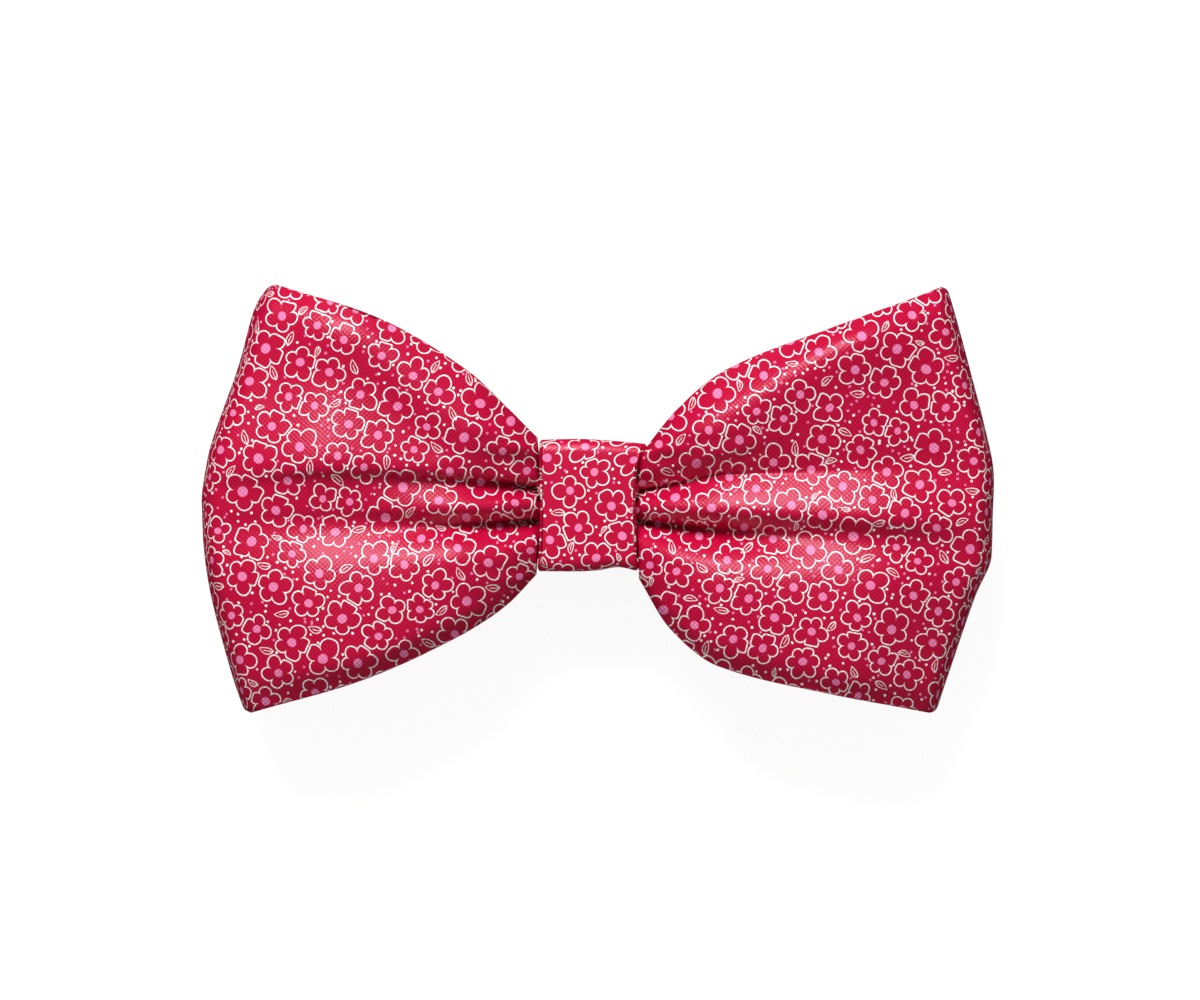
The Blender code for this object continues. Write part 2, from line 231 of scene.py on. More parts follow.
# The picture's middle on the bow, the key light's place and size, and the floor's half width.
PHOTO_MIDDLE_X = 0.34 * MM
PHOTO_MIDDLE_Y = -0.15 * MM
KEY_PLACE = (-0.21, 0.82, 0.79)
KEY_SIZE = 0.62
FLOOR_REACH = 3.0


def linear(code):
    """An sRGB hex code such as "c20a3a" as linear red, green and blue."""
    parts = [int(code[at : at + 2], 16) / 255 for at in (0, 2, 4)]
    return tuple(p / 12.92 if p <= 0.04045 else ((p + 0.055) / 1.055) ** 2.4 for p in parts)


def length(name, description, default):
    """A size property in metres."""
    return FloatProperty(name=name, description=description, default=default, min=0.0, unit="LENGTH", precision=5)


def number(name, description, default, least=0.0):
    """A plain number property."""
    return FloatProperty(name=name, description=description, default=default, min=least)


def colour(name, description, code):
    """A colour property that starts from an sRGB hex code."""
    return FloatVectorProperty(
        name=name, description=description, default=linear(code), size=3, min=0.0, max=1.0, subtype="COLOR"
    )


class BowSizes(bpy.types.PropertyGroup):
    """Sizes of the gathered strip."""

    height: length("Bow height", "Height of the outline, tip to tip", 65.2 * MM)
    left_reach: length("Left reach", "How far the wing at -X stands out from the band", 50.9 * MM)
    right_reach: length("Right reach", "How far the wing at +X stands out from the band", 53.9 * MM)
    wall: length("Cloth", "Thickness of two plies of cotton and their interlining", 1.3 * MM)
    puff: length("Front puff", "How far the front layer stands above the middle", 12.5 * MM)
    gather: length("Gather depth", "Depth of the gathered cloth inside the band", 8.4 * MM)
    spring: length("Neck spring", "How far from the band the gathers begin to open", 0.15 * MM)
    fold_round: length("Fold round", "How far the outer folds are rounded", 3.0 * MM)
    back_inset: length("Back inset", "How far the back layer hides behind the front one", 0.7 * MM)


class BandSizes(bpy.types.PropertyGroup):
    """Sizes of the band round the middle."""

    wall: length("Band cloth", "Thickness of the folded band", 1.4 * MM)
    corner: length("Corner", "Radius that the band turns round the gather", 2.0 * MM)
    crown: length("Crown", "How far the band's front swells", 0.35 * MM)
    gap: length("Gap", "Room between the band and the gather", 0.3 * MM)


class PrintLook(bpy.types.PropertyGroup):
    """Scale and colours of the printed cloth."""

    spacing_mm: number("Spacing", "Millimetres between blossoms", 5.45, 1.0)
    line_mm: number("Line", "Millimetres across a drawn outline", 0.18, 0.05)
    weave_mm: number("Weave", "Millimetres between the floats", 0.74, 0.1)
    ground: colour("Ground", "Cloth between the blossoms", "c4003a")
    petal: colour("Petals", "Inside of a blossom", "c20038")
    line: colour("Outline", "Outlines, leaves and pale dots", "ffffff")
    heart: colour("Heart", "A blossom's middle and the pink dots", "f386b6")
    shine: colour("Shine", "Tint of the light that the cloth mirrors", "ffe5fa")


class ElasticLook(bpy.types.PropertyGroup):
    """The elastic loop's webbing."""

    wall: length("Webbing", "Thickness of the elastic", 1.0 * MM)
    corner: length("Inner corner", "Radius inside each corner of the loop", 1.0 * MM)
    rib_mm: number("Rib", "Millimetres between the elastic's ribs", 0.8, 0.1)
    yarn: colour("Yarn", "Black polyester yarn", "17171a")
    thread: colour("Thread", "Sewing thread", "b00f36")


class StageLook(bpy.types.PropertyGroup):
    """Floor, lights and camera."""

    frame_width: length("Frame width", "Width of the picture at the bow's middle", 181.9 * MM)
    distance: length("Camera distance", "How far the camera stands above the surface", 1.2)
    key: number("Key", "Power of the light beyond the bow's top, in watts", 15.0)
    fill: number("Fill", "Strength of the light from all round", 0.40)
    glow: number("Glow", "How strongly the light table under the floor glows", 0.90)
    floor: colour("Floor", "The pale surface", "7c7c7c")
    light: colour("Light", "Colour of the fill and of the floor's glow", "ffffff")


def table_column(wing, name):
    """One named column of a wing's table, with a row for each of its lines."""
    return np.array([{"crease": 0, **both, **row}[name] for both, row in zip(BOTH_WINGS, wing.values())], float)


def smooth_through(at, values, where):
    """A smooth curve through values given at the places at, read at where, that never overshoots them.

    Each slope is the harmonic mean of the slopes on both sides, and zero where they differ in sign.
    """
    at = np.array(at, float)
    steps = np.diff(at)
    slopes = np.diff(values, axis=1) / steps
    before, after = slopes[:, :-1], slopes[:, 1:]
    same_way = before * after > 0
    total = np.where(same_way, before + after, 1.0)
    inner = np.where(same_way, 2 * before * after / total, 0.0)
    tangents = np.concatenate([slopes[:, :1], inner, slopes[:, -1:]], axis=1)
    piece = np.clip(np.searchsorted(at, where, side="right") - 1, 0, len(at) - 2)
    rows = np.arange(len(values))[:, None]
    t = (where - at[piece]) / steps[piece]
    start, end = values[rows, piece], values[rows, piece + 1]
    leave = tangents[rows, piece] * steps[piece]
    arrive = tangents[rows, piece + 1] * steps[piece]
    rise = t * t * (3 - 2 * t)
    return start + (end - start) * rise + leave * t * (1 - t) ** 2 - arrive * t * t * (1 - t)


def across_rows(lines, sharpness, steepness):
    """Joins a wing's lines from row to row with cubics, PER_ROW steps to a row.

    A cubic's slope at a line is the mean of the slopes on both sides, but at most twice the flatter one.
    A line is smooth where its sharpness is 0. Where it is 1, the side above meets it steepness[0] times as steeply
    as a straight side, and the side below leaves it steepness[1] times as steeply.
    """
    forward = np.diff(lines, axis=0)
    before, after = forward[:-1], forward[1:]
    flatter = np.minimum(np.abs(before), np.abs(after))
    steepest = np.where(before * after > 0, 2 * flatter, np.inf)
    inner = np.clip((before + after) / 2, -steepest, steepest)
    smooth = np.concatenate([forward[:1], inner, forward[-1:]])
    leave = smooth[:-1] * (1 - sharpness[:-1]) + forward * steepness[1] * sharpness[:-1]
    arrive = smooth[1:] * (1 - sharpness[1:]) + forward * steepness[0] * sharpness[1:]
    t = (np.arange(PER_ROW) / PER_ROW)[None, :, None]
    rise = t * t * (3 - 2 * t)
    joined = lines[:-1, None] + forward[:, None] * rise
    joined += leave[:, None] * t * (1 - t) ** 2 - arrive[:, None] * t * t * (1 - t)
    return np.concatenate([joined.reshape(-1, lines.shape[1]), lines[-1:]])


def wing_layer(sizes, wing, reach, side, front):
    """Mid-surface of one layer of a wing: rows from the top edge down, columns from the band's middle to the fold.

    Each table line is a smooth curve through its stations, and cubics join the lines. The fold is a quarter of an
    ellipse. side is 1 for the wing at +X and -1 for the one at -X.
    """
    band_middle = (BAND_LOW + BAND_HIGH) / 2
    half_band = (BAND_HIGH.x - BAND_LOW.x) / 2
    middle = BAND_LOW.z + sizes.bow.gather / 2 + sizes.band.gap + sizes.band.wall
    ends = table_column(wing, "reach")[:, None] * reach
    knots = table_column(wing, "knot")
    facing = 1 if front else -1
    if front:
        envelope = middle + sizes.bow.puff * table_column(wing, "lift")
    else:
        envelope = middle * (1 - table_column(wing, "sink"))
    fold = middle * table_column(wing, "fold")[:, None]

    along_steps = ALONG_FRONT if front else ALONG_BACK
    opened = np.abs(envelope[:, -1:] - fold)
    turn = np.minimum(sizes.bow.fold_round * opened / opened.max(), ends / 3) / ends
    out = np.arange(along_steps)[None, :] / along_steps * (1 - turn)
    angles = np.linspace(0, math.pi / 2, ROUND_FOLD + 1)[None, :]
    share = np.concatenate([out, 1 - turn + turn * np.sin(angles)], axis=1)
    closing = np.concatenate([np.ones_like(out), np.cos(angles) + 0 * turn], axis=1)

    y = smooth_through(STATIONS, table_column(wing, "across") * sizes.bow.height / 2, share)
    z = fold + (smooth_through(STATIONS, envelope, share) - fold) * closing
    gather_height = BAND_HIGH.y - BAND_LOW.y - 2 * (sizes.band.wall + sizes.band.gap)
    y_knot = knots[:, :1] * gather_height / 2
    side_of_band = half_band + side * band_lean(y_knot / (BAND_HIGH.y - BAND_LOW.y) * 2, side)
    start = side_of_band + sizes.bow.spring
    x = start + share * (half_band + ends - start)
    if not front:
        edge = np.abs(np.linspace(-1, 1, len(wing)))[:, None] ** 4
        y -= np.sign(y) * edge * sizes.bow.back_inset * closing

    inside = np.linspace(0, 1, INSIDE_BAND)[None, :] * side_of_band
    y_knot = band_middle.y + y_knot + 0 * inside
    z_knot = middle + facing * knots[:, 1:] * sizes.bow.gather / 2 + 0 * inside
    x, y, z = (np.concatenate(pair, axis=1) for pair in ((inside, x), (y_knot, y), (z_knot, z)))

    along = np.concatenate([0 * inside, share], axis=1)
    reach_of_crease = table_column(wing, "crease")[:, None]
    sharpness = np.clip(1 - along / np.maximum(reach_of_crease, 1e-6), 0, 1) * (reach_of_crease > 0)
    x = across_rows(x, 0 * sharpness, (1, 1))
    y = across_rows(y, sharpness, CREASE_CLOSENESS)
    z = across_rows(z, sharpness, CREASE_STEEPNESS)
    along = across_rows(along, 0 * sharpness, (1, 1))
    x -= short_of_tip(y[:, -1])[:, None] * along**8
    z += facing * hand_wrinkles(x, y, along, closing_of(closing, inside))
    return np.stack([band_middle.x + side * x, y, np.maximum(z, 0)], axis=-1)


def band_lean(up, across):
    """How far the band's top flares towards +X, at shares of half its height and half its width.

    A parabola in the height, times a line across that is 1 at the side at +X and 0.2 at the other.
    """
    return BAND_LEAN * np.clip((up - 0.3) / 0.7, 0, 1) ** 2 * (0.6 + 0.4 * across)


def short_of_tip(heights):
    """How far each row stops short of the fold, so that the two outer tips are quarter circles of TIP_ROUND."""
    from_tip = np.minimum(heights[0] - heights, heights - heights[-1])
    depth = TIP_ROUND - np.clip(from_tip, 0, TIP_ROUND)
    return TIP_ROUND - np.sqrt(TIP_ROUND**2 - depth**2)


def closing_of(closing, inside):
    """How open the loop is at each column, 1 up to the fold and 0 at it, averaged over the rows."""
    return np.concatenate([0 * inside[:1], closing.mean(axis=0, keepdims=True)], axis=1)


def hand_wrinkles(x, y, along, closing):
    """Small folds left by handling: fine gathers that fade away from the band, and slow dents over the wing.

    The gathers are a sum of cosines of the height across, times a falling exponential of the way along. The dents
    are a sum of three slow plane waves.
    """
    near = along * np.exp(-along / 0.07) / 0.07
    gathers = 0.16 * MM * np.cos(y / (0.62 * MM) + 9 * along) + 0.12 * MM * np.cos(y / (0.39 * MM) - 5 * along)
    dents = np.sin(x / (6.1 * MM) + y / (4.3 * MM)) + np.sin(x / (4.7 * MM) - y / (7.9 * MM) + 2.0)
    dents += np.sin(y / (3.1 * MM) - x / (11.0 * MM) + 4.0)
    return (gathers * near * 1.6 + 0.07 * MM * dents * np.clip(along * 4, 0, 1)) * closing


def unit(vectors):
    """Vectors brought to length 1."""
    return vectors / np.maximum(np.linalg.norm(vectors, axis=-1, keepdims=True), 1e-12)


def ring_normals(grid):
    """Normals of a grid whose columns close on themselves: the cross product of its two central differences."""
    down = np.gradient(grid, axis=0)
    along = np.roll(grid, -1, axis=1) - np.roll(grid, 1, axis=1)
    return unit(np.cross(down, along))


def tube_section(grid, wall, rim_steps):
    """The closed surface of a ring of cloth whose outer face is the grid, as points by column and place round it.

    The section starts in the middle of the inner face, climbs to the top rim, comes down the outer face, goes round
    the bottom rim and climbs back. A rim is half an ellipse, as wide as the wall and RIM_DEPTH of it deep. Also
    gives the rows that the section visits, the face that each place is on, from -1 inside to 1 outside, and its
    rim's bulge.
    """
    normals = ring_normals(grid)
    rows = len(grid)
    half = rows // 2
    turn = np.linspace(0, math.pi, rim_steps + 1)[1:-1]
    visited = np.concatenate([
        np.arange(half, -1, -1), np.zeros(len(turn), int), np.arange(rows),
        np.full(len(turn), rows - 1), np.arange(rows - 1, half, -1),
    ])
    face = np.concatenate([
        -np.ones(half + 1), -np.cos(turn), np.ones(rows), np.cos(turn), -np.ones(rows - 1 - half),
    ])
    bulge = np.concatenate([
        np.zeros(half + 1), np.sin(turn), np.zeros(rows), np.sin(turn), np.zeros(rows - 1 - half),
    ])
    at_edge = 1.0 * ((visited == 0) | (visited == rows - 1))
    outward = np.zeros_like(grid)
    outward[0] = unit(grid[0] - grid[1])
    outward[-1] = unit(grid[-1] - grid[-2])
    points = grid[visited] + normals[visited] * (face[:, None, None] - 1) * wall / 2
    points += outward[visited] * (bulge[:, None, None] - 1) * wall * RIM_DEPTH * at_edge[:, None, None]
    return points.transpose(1, 0, 2), visited, face, bulge


def put(name, data):
    """A new object in the scene, at the origin."""
    thing = bpy.data.objects.new(name, data)
    bpy.context.scene.collection.objects.link(thing)
    return thing


def closed_grid_object(name, points, uv):
    """A mesh object from points closed both ways, with uv one longer each way so that its last values can differ."""
    columns, places = points.shape[:2]
    index = np.arange(columns * places).reshape(columns, places)
    after = np.roll(index, -1, axis=0)
    faces = np.stack([index, np.roll(index, -1, axis=1), np.roll(after, -1, axis=1), after], axis=-1)
    corners = np.stack([uv[:-1, :-1], uv[:-1, 1:], uv[1:, 1:], uv[1:, :-1]], axis=2)
    mesh = bpy.data.meshes.new(name)
    mesh.from_pydata(points.reshape(-1, 3), [], faces.reshape(-1, 4).tolist())
    layer = mesh.uv_layers.new(name="cloth_mm")
    layer.uv.foreach_set("vector", corners.reshape(-1).astype(np.float32))
    mesh.shade_smooth()
    mesh.update()
    return put(name, mesh)


def bow_surface(sizes):
    """The strip's mid-surface, as rows down and columns round both loops, and its places in the cloth.

    The columns start behind the band: left back, left front, right front, right back. Cloth shears in a gather and
    its print stays even, so u and v are the places across and up as the front shows them, from its middle. Only what
    is steeper than STEEP adds the length that it hides: to u far out, by the mean of the rows, and to v in the two
    edge bands. Behind the folds u differs from the middle row's as x does.
    """
    left_back = wing_layer(sizes, LEFT_WING, sizes.bow.left_reach, -1, False)
    left_front = wing_layer(sizes, LEFT_WING, sizes.bow.left_reach, -1, True)
    right_front = wing_layer(sizes, RIGHT_WING, sizes.bow.right_reach, 1, True)
    right_back = wing_layer(sizes, RIGHT_WING, sizes.bow.right_reach, 1, False)
    loop = np.concatenate([left_back, left_front[:, -2:0:-1], right_front, right_back[:, -2::-1]], axis=1)
    front_middle = left_back.shape[1] + left_front.shape[1] - 2
    half = len(loop) // 2

    steps = np.abs(np.diff(loop, axis=1))
    run, rise = steps[..., 0], steps[..., 2]
    far_out = np.abs(loop[:, :-1, 0] - (BAND_LOW.x + BAND_HIGH.x) / 2).mean(axis=0) > sizes.bow.left_reach / 2
    counts = far_out * np.clip((rise / np.maximum(run, 1e-9)).mean(axis=0) - STEEP, 0, 1)
    walked = run + counts * (np.hypot(run, rise) - run).mean(axis=0)
    u = np.concatenate([0 * walked[:, :1], np.cumsum(walked, axis=1)], axis=1)
    u -= u[:, front_middle : front_middle + 1]
    columns = np.arange(loop.shape[1])
    past_fold = np.maximum(left_back.shape[1] - 1 - columns, columns - (loop.shape[1] - right_back.shape[1]))
    u = np.where(past_fold > ROUND_FOLD, u[half] - (loop[..., 0] - loop[half, :, 0]), u)

    steps = np.abs(np.diff(loop, axis=0))
    run, rise = steps[..., 1], steps[..., 2]
    counts = np.clip(rise / np.maximum(run, 1e-9) - STEEP, 0, 1)
    counts[PER_ROW:-PER_ROW] = 0
    hidden = np.concatenate([0 * run[:1], np.cumsum(counts * (np.hypot(run, rise) - run), axis=0)])
    v = loop[..., 1] - hidden + hidden[half]
    return loop[:, :-1], u / MM, v / MM


def make_bow(sizes):
    """The gathered strip: its mid-surface given a wall with rounded rims.

    Its places in the cloth run on over each rim, and on the inner face they are mirrored at it.
    """
    loop, u, v = bow_surface(sizes)
    wall = sizes.bow.wall
    points, visited, face, bulge = tube_section(loop, wall, ROUND_RIM)
    rim_mm = wall / MM / 2
    inner = (face < -0.999)[:, None]
    upper = (np.arange(len(visited)) < len(visited) / 2)[:, None]
    round_rim = (np.where(bulge > 0, np.arccos(np.clip(face, -1, 1)), 0) * rim_mm)[:, None]
    over_top = 2 * v[0] + math.pi * rim_mm - v[visited]
    under_bottom = 2 * v[-1] - math.pi * rim_mm - v[visited]
    outer = v[visited] + np.where(upper, 1, -1) * round_rim
    v_round = np.where(inner, np.where(upper, over_top, under_bottom), outer)
    v_round = np.concatenate([v_round, under_bottom[:1]])
    u_round = np.concatenate([u[visited], u[visited[:1]]])
    uv = np.stack([u_round.T, v_round.T], axis=-1)
    return closed_grid_object("gathered_bow", points, uv)


def rounded_ring(half_height, half_depth, corner, per_side, per_corner):
    """Places round a rounded rectangle in Y and Z, from the middle of its back, up and over to the front and back.

    Two straight sides and two quarter circles of radius corner, and then the same with their signs turned. Also
    gives the length walked to each place.
    """
    turns = np.linspace(0, math.pi / 2, per_corner, endpoint=False)
    flat_y, flat_z = half_height - corner, half_depth - corner
    side = np.linspace(-1, 1, per_side, endpoint=False)
    parts = np.concatenate([
        (side * flat_y, np.full(per_side, -half_depth)),
        (flat_y + corner * np.sin(turns), -flat_z - corner * np.cos(turns)),
        (np.full(per_side, half_height), side * flat_z),
        (flat_y + corner * np.cos(turns), flat_z + corner * np.sin(turns)),
    ], axis=1)
    y, z = np.roll(np.concatenate([parts, -parts], axis=1), -(per_side // 2), axis=1)
    steps = np.hypot(np.diff(y, append=y[:1]), np.diff(z, append=z[:1]))
    return y, z, np.concatenate([[0], np.cumsum(steps)])


def ring_of_cloth(name, grid, walked, wall, rim_steps):
    """A ring of cloth as an object: grid is its outer surface, rows across and columns round, walked its lengths.

    In the cloth, u is the place across from the middle row and v the length walked round, both in millimetres.
    """
    points, visited, *_ = tube_section(grid, wall, rim_steps)
    across = grid[:, :, 0].mean(axis=1)
    u = np.concatenate([across[visited], across[visited[:1]]]) / MM
    uv = np.stack(np.broadcast_arrays(u[None, :], walked[:, None] / MM), axis=-1)
    return closed_grid_object(name, points, uv)


def make_band(sizes):
    """The band: a rounded ring of cloth, crowned in front and waisted, whose top and bottom edges run uneven."""
    middle = (BAND_LOW + BAND_HIGH) / 2
    half_height = (BAND_HIGH.y - BAND_LOW.y) / 2
    crown = sizes.band.crown
    half_depth = (BAND_HIGH.z - BAND_LOW.z - crown) / 2
    half_width = (BAND_HIGH.x - BAND_LOW.x) / 2
    y, z, walked = rounded_ring(half_height, half_depth, sizes.band.corner, *BAND_RING)
    up = y / half_height
    across = np.linspace(-1, 1, ACROSS_BAND + 1)[::-1]
    top, bottom = smooth_through(EDGE_ACROSS, np.array(BAND_EDGES) * half_height, across[None, :])
    shift = np.where(up > 0, up**3 * top[:, None], -(up**3) * bottom[:, None])
    in_front = np.clip(z / half_depth, 0, 1)
    half = half_width - WAIST * (1 - up**2)
    x = middle.x + across[:, None] * half + band_lean(up, across[:, None])
    swell = crown * (1 - up**2) * in_front * (1 - across[:, None] ** 2)
    creases = BAND_CREASE * np.sin(y / (2.3 * MM) + 1.5 * across[:, None]) * in_front * across[:, None] ** 2
    grid_y = middle.y + y + shift
    grid_z = BAND_LOW.z + half_depth + z + swell + creases
    grid = np.stack(np.broadcast_arrays(x, grid_y, grid_z), axis=-1)
    return ring_of_cloth("gather_band", grid, walked, sizes.band.wall, ROUND_RIM)


def make_elastic(sizes):
    """The elastic: a flat ring of webbing. Its ribs run round it, and their height is a cosine across it."""
    middle = (ELASTIC_LOW + ELASTIC_HIGH) / 2
    half = (ELASTIC_HIGH - ELASTIC_LOW) / 2
    corner = sizes.elastic.corner + sizes.elastic.wall
    y, z, walked = rounded_ring(half.y, half.z, corner, *ELASTIC_RING)
    across = np.linspace(half.x, -half.x, ACROSS_ELASTIC + 1)
    ribs = RIB_DEPTH * (np.cos(2 * math.pi * across / (sizes.elastic.rib_mm * MM)) - 1)
    grid = np.stack(np.broadcast_arrays(middle.x + across[:, None], middle.y + y, middle.z + z), axis=-1)
    grid = grid + ring_normals(grid) * ribs[:, None, None]
    return ring_of_cloth("elastic_loop", grid, walked, sizes.elastic.wall, ELASTIC_RIM)


def thread_object(name, routes, thickness):
    """Sewing thread as one mesh: a round tube of eight sides carried along each route, closed by its end rings.

    At each point the tube's ring is the sine and cosine of the turn, along two directions square to the route.
    """
    turn = np.linspace(0, 2 * math.pi, 8, endpoint=False)
    points, faces, start = [], [], 0
    for route in routes:
        route = np.array(route, float)
        ahead = unit(np.gradient(route, axis=0))
        beside = unit(np.cross(ahead, np.array([0.31, 0.52, 0.8])))
        above = np.cross(ahead, beside)
        ring = np.cos(turn)[:, None] * beside[:, None] + np.sin(turn)[:, None] * above[:, None]
        points.append((route[:, None] + ring * thickness / 2).reshape(-1, 3))
        index = start + np.arange(len(route) * 8).reshape(len(route), 8)
        beside_index = np.roll(index, -1, axis=1)
        quads = np.stack([index[:-1], beside_index[:-1], beside_index[1:], index[1:]], axis=-1)
        faces += quads.reshape(-1, 4).tolist() + [index[0][::-1].tolist(), index[-1].tolist()]
        start += len(route) * 8
    mesh = bpy.data.meshes.new(name)
    mesh.from_pydata(np.concatenate(points), [], faces)
    mesh.shade_smooth()
    return put(name, mesh)


def make_stitches():
    """Thread: a zigzag across the elastic's back, where its ends are joined, and tacks from elastic to band."""
    middle = (ELASTIC_LOW + ELASTIC_HIGH) / 2
    half = (ELASTIC_HIGH - ELASTIC_LOW) / 2
    step = np.arange(STITCHES * STITCH_STEPS + 1)
    x = middle.x + half.x * 0.9 * (2 * step / step[-1] - 1)
    swing = 2 * np.abs((step / STITCH_STEPS) % 2 - 1) - 1
    dive = np.abs(np.cos(math.pi * step / STITCH_STEPS)) ** 6
    y = middle.y + SEAM_REACH * swing
    z = ELASTIC_LOW.z - THREAD * 0.2 + THREAD * 0.9 * dive
    zigzag = [np.stack([x, y, z], axis=-1)]
    tacks = []
    arc = np.linspace(0, math.pi, 9)
    climb = (BAND_LOW.z - ELASTIC_HIGH.z + 1.5 * MM) * (1 - np.cos(arc)) / 2
    for end in (-1, 1):
        for place in TACKS:
            tack_x = middle.x + half.x * place + 0.25 * MM * np.sin(arc - 0.4)
            tack_y = middle.y + end * (half.y - 1.1 * MM + 0.85 * MM * np.sin(arc))
            tacks.append(np.stack([tack_x, tack_y, ELASTIC_HIGH.z - 0.6 * MM + climb], axis=-1))
    return thread_object("elastic_seam", zigzag, THREAD), thread_object("band_tacks", tacks, THREAD)


def fill(tree, node, *values, **named):
    """Fills a node's sockets: values in order, and named ones by name, with _ for a space, or by identifier.

    A node given as a value links its first output that is in use.
    """
    sockets = {socket.identifier: socket for socket in node.inputs}
    wanted = [*zip(node.inputs, values)]
    wanted += [(sockets.get(key) or node.inputs[key.replace("_", " ")], value) for key, value in named.items()]
    for socket, value in wanted:
        if isinstance(value, bpy.types.Node):
            value = next(output for output in value.outputs if output.enabled)
        if isinstance(value, bpy.types.NodeSocket):
            tree.links.new(value, socket)
        else:
            socket.default_value = value


def add(tree, kind, *values, **settings):
    """Adds a shader node and fills its sockets. A kind such as "VectorMath ADD" names its operation too, and one
    such as "ADD" is a Math node's. In settings, a small first letter names a property and a capital one a socket.
    """
    kind, *operation = ("Math " + kind if kind.isupper() else kind).split()
    node = tree.nodes.new("ShaderNode" + kind)
    if operation:
        node.operation = operation[0]
    for key in [key for key in settings if key[0].islower()]:
        setattr(node, key, settings.pop(key))
    fill(tree, node, *values, **settings)
    return node


def new_group(name, outputs):
    """An empty node group that takes a Place in the cloth, in millimetres, and gives the named numbers."""
    tree = bpy.data.node_groups.new(name, "ShaderNodeTree")
    tree.interface.new_socket("Place", in_out="INPUT", socket_type="NodeSocketVector")
    for output in outputs:
        tree.interface.new_socket(output, in_out="OUTPUT", socket_type="NodeSocketFloat")
    source = tree.nodes.new("NodeGroupInput")
    target = tree.nodes.new("NodeGroupOutput")
    return tree, source.outputs["Place"], target


def blossom_group(look):
    """Blossoms scattered on a jittered lattice, one to a cell, a little larger than they have room for.

    Where two meet, both are flattened, so that BLOSSOM_GAP_MM stays between them. Edge is the signed distance to the
    outline, below zero inside: the distance to the nearest petal's middle less the petal's radius, or the distance
    to a round core if that is less. Petals stand evenly round the heart. Each blossom is stretched away from one
    side, so its petals differ. Out is the distance to its middle.
    """
    tree, place, target = new_group("blossoms", ("Edge", "Out", "Size"))
    node = partial(add, tree)
    lattice = dict(Vector=place, Scale=1 / look.spacing_mm, Randomness=LATTICE_JITTER, voronoi_dimensions="2D")
    cell = node("TexVoronoi", **lattice)
    room = node("TexVoronoi", feature="N_SPHERE_RADIUS", **lattice)
    border = node("TexVoronoi", feature="DISTANCE_TO_EDGE", **lattice)
    wanted = node("MULTIPLY", room, look.spacing_mm * BLOSSOM_FILL)
    size = node("Clamp", wanted, look.spacing_mm * BLOSSOM_LEAST, look.spacing_mm * BLOSSOM_MOST)
    straight = node("VectorMath SUBTRACT", place, cell.outputs["Position"])
    red, green, blue = node("SeparateColor", cell.outputs["Color"]).outputs
    phase = node("MULTIPLY", blue, 2 * math.pi)
    heavy_side = node("CombineXYZ", node("COSINE", phase), node("SINE", phase))
    sideways = node("VectorMath DOT_PRODUCT", straight, heavy_side)
    share = node("DIVIDE", sideways, size)
    stretch = node("MULTIPLY_ADD", share, -BLOSSOM_STRETCH, 1.0)
    offset = node("VectorMath SCALE", straight, Scale=stretch)
    out = node("VectorMath LENGTH", offset)
    x, y = node("SeparateXYZ", offset).outputs[:2]
    bearing = node("ARCTAN2", y, x)
    turned = node("MULTIPLY_ADD", red, 2 * math.pi, bearing)
    more = node("SUBTRACT", node("GREATER_THAN", green, 1 - SIX_PETALS), node("LESS_THAN", green, FOUR_PETALS))
    petals = node("ADD", more, 5.0)
    sector = node("DIVIDE", 2 * math.pi, petals)
    turns = node("DIVIDE", turned, sector)
    lean = node("MULTIPLY", node("SUBTRACT", node("FRACT", turns), 0.5), sector)
    which = node("MULTIPLY", node("FLOOR", turns), sector)
    uneven = node("MULTIPLY_ADD", which, 2.0, phase)
    variety = node("MULTIPLY_ADD", node("SINE", uneven), PETAL_UNEVEN, 0.97)
    half_sine = node("SINE", node("MULTIPLY", sector, 0.5))
    spread = node("MULTIPLY_ADD", half_sine, PETAL_SPREAD, 1.0)
    petal_out = node("DIVIDE", size, spread)
    petal_round = node("MULTIPLY", node("SUBTRACT", size, petal_out), variety)
    cross = node("MULTIPLY", node("MULTIPLY", out, petal_out), node("COSINE", lean))
    squares = node("MULTIPLY_ADD", petal_out, petal_out, node("MULTIPLY", out, out))
    apart = node("MULTIPLY_ADD", cross, -2.0, squares)
    petal_edge = node("SUBTRACT", node("SQRT", apart), petal_round)
    half_cosine = node("COSINE", node("MULTIPLY", sector, 0.5))
    notch = node("MULTIPLY_ADD", half_sine, 0.17, half_cosine)
    core_edge = node("SUBTRACT", out, node("MULTIPLY", petal_out, notch))
    stretched = node("MINIMUM", petal_edge, core_edge)
    free_shape = node("DIVIDE", stretched, node("MULTIPLY_ADD", share, -1.5 * BLOSSOM_STRETCH, 1.0))
    beyond = node("MULTIPLY_ADD", border, -look.spacing_mm, BLOSSOM_GAP_MM / 2)
    distance = node("SMOOTH_MAX", free_shape, beyond, MEETING_ROUND_MM)
    fill(tree, target, Edge=distance, Out=out, Size=size)
    return tree


